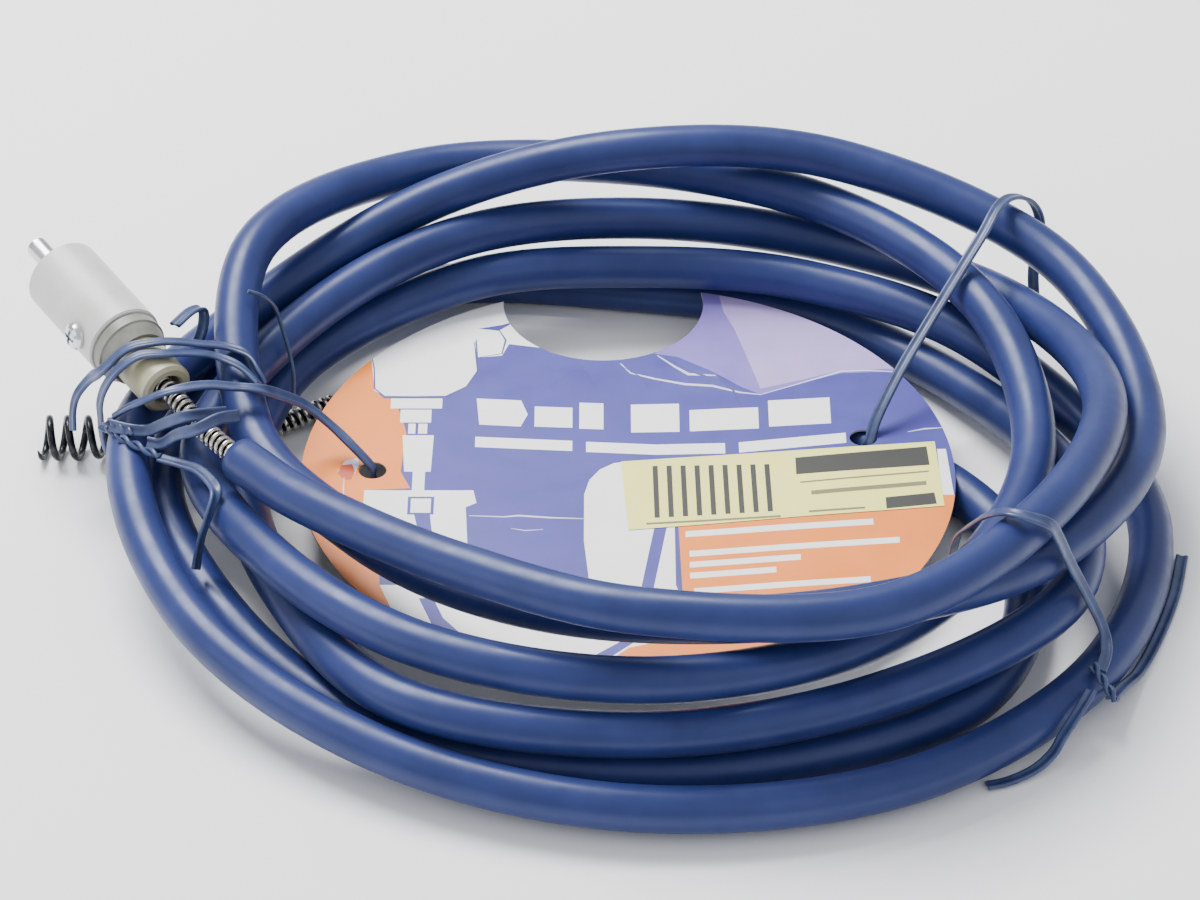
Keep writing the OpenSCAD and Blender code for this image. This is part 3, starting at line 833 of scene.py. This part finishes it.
def build_card():
    board = moulded("card_board", (0.42, 0.40, 0.36), (0.52, 0.50, 0.46), 0.8, 60)
    card_colour_materials = {}

    def add_coloured_sheet(name, outline, holes, shapes, bottom, thick, ground, rough, node):
        sheet, colours = flat_coloured_sheet(name, outline, holes, shapes, bottom, thick)
        for colour in colours:
            c = colour or ground
            if c not in card_colour_materials:
                card_colour_materials[c] = coated_card_colour("print_%d_%d_%d" % c, linear(c), rough)
            sheet.data.materials.append(card_colour_materials[c])
        sheet.data.materials.append(board)
        finish_piece(sheet, "coil", board, node, 50)

    holes = [circle_at(NOTCH, NOTCH_R, NOTCH_SIDES)]
    holes += [circle_at(at, PUNCH_R, PUNCH_SIDES) for at in PUNCHED]
    add_coloured_sheet("card_print", circle_at(CARD_AT, CARD_R, CARD_SIDES), holes, CARD_SHAPES,
                CARD_TOP - CARD_T, CARD_T, VIOLET, 0.42, "display_card")
    add_coloured_sheet("sticker_print", STICKER, [], STICKER_SHAPES, CARD_TOP + STICKER_GAP, STICKER_T,
                YELLOW, 0.5, "price_sticker")


# ---------------------------------------------------------------- the CAD parts that stay
def dress_parts():
    """The CAD shape stays and gets a detailed material."""
    looks = {
        "coupling_sleeve": moulded("sleeve_plastic", (0.50, 0.50, 0.47), (0.60, 0.60, 0.57),
                                   0.36, 70, (0.36, 0.35, 0.32)),
        "sleeve_collar": moulded("collar_plastic", (0.15, 0.15, 0.13), (0.24, 0.235, 0.205),
                                 0.42, 90, (0.11, 0.105, 0.085)),
        "guide_bush": moulded("bush_plastic", (0.28, 0.265, 0.17), (0.44, 0.415, 0.28),
                              0.40, 80, (0.26, 0.22, 0.13)),
        "clamp_screw": metal("screw_zinc", (0.52, 0.54, 0.57), (0.80, 0.82, 0.85), 0.20, 400),
        "drill_shank": metal("shank_steel", (0.50, 0.50, 0.50), (0.74, 0.74, 0.74), 0.25, 300,
                             stretch=(1, 1, 6)),
        "drive_hub": metal("hub_steel", (0.22, 0.22, 0.23), (0.42, 0.42, 0.43), 0.42, 300),
    }
    for node, material in looks.items():
        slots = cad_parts[node].data.materials
        slots.clear()
        slots.append(material)


# ---------------------------------------------------------------- floor and light
FLOOR_HALF = 6
WORLD_COLOUR, WORLD_STRENGTH = (0.92, 0.95, 1.0, 1), 0.85
# Lights that face the origin: name, place, size, power in watts.
LIGHTS = [
    ("key", (-0.5, 0.7, 1.3), (1.0, 0.6), 50),
    ("fill", (0.9, -1.1, 1.0), (1.2, 1.2), 3),
    ("side", (-1.3, -0.5, 0.7), (0.8, 0.8), 4),
]


def stage():
    mesh = bpy.data.meshes.new("floor")
    a = FLOOR_HALF
    mesh.from_pydata([(-a, -a, 0), (a, -a, 0), (a, a, 0), (-a, a, 0)], [], [(0, 1, 2, 3)])
    floor = bpy.data.objects.new("floor", mesh)
    SCENE.collection.objects.link(floor)
    m = Nodes("floor_pale").set(Roughness=0.85)
    m.colour(m.ramp(m.noise(2, 3), (0.93, 0.935, 0.94), (0.96, 0.963, 0.966)))
    mesh.materials.append(m.mat)
    for name, at, size, power in LIGHTS:
        data = bpy.data.lights.new(name, "AREA")
        data.shape = "RECTANGLE"
        data.size, data.size_y = size
        data.energy = power
        lamp = bpy.data.objects.new(name, data)
        SCENE.collection.objects.link(lamp)
        lamp.location = at
        lamp.rotation_euler = (-Vector(at)).to_track_quat("-Z", "Y").to_euler()
    world = bpy.data.worlds.new("world")
    world.use_nodes = True
    background = world.node_tree.nodes["Background"].inputs
    background["Color"].default_value = WORLD_COLOUR
    background["Strength"].default_value = WORLD_STRENGTH
    SCENE.world = world


def main():
    camera()
    vinyl = hose_material()
    spring = metal("spring_wire", (0.42, 0.40, 0.36), (0.80, 0.78, 0.72), 0.25, 500)
    # The core's near-black colour is painted shade: the spring's hollow, seen between its turns.
    dark = metal("cable_core_painted_shade", (0.012, 0.012, 0.014), (0.035, 0.034, 0.034), 0.6, 300)
    tip_steel = metal("tip_wire", (0.016, 0.017, 0.020), (0.05, 0.052, 0.058), 0.26, 500)
    strap = tie_material()
    thin = moulded("thin_wire", (0.03, 0.055, 0.12), (0.06, 0.10, 0.19), 0.4, 300)
    line = hose_path()
    build_hose(line, vinyl)
    cable, route = build_cable(line, spring, dark)
    build_stub(spring, dark)
    tip = build_tip(spring, dark, tip_steel)
    tuple(route[0])
    [tuple(p) for p in route]
    build_ties(strap, thin)
    build_card()
    dress_parts()
    stage()


main()
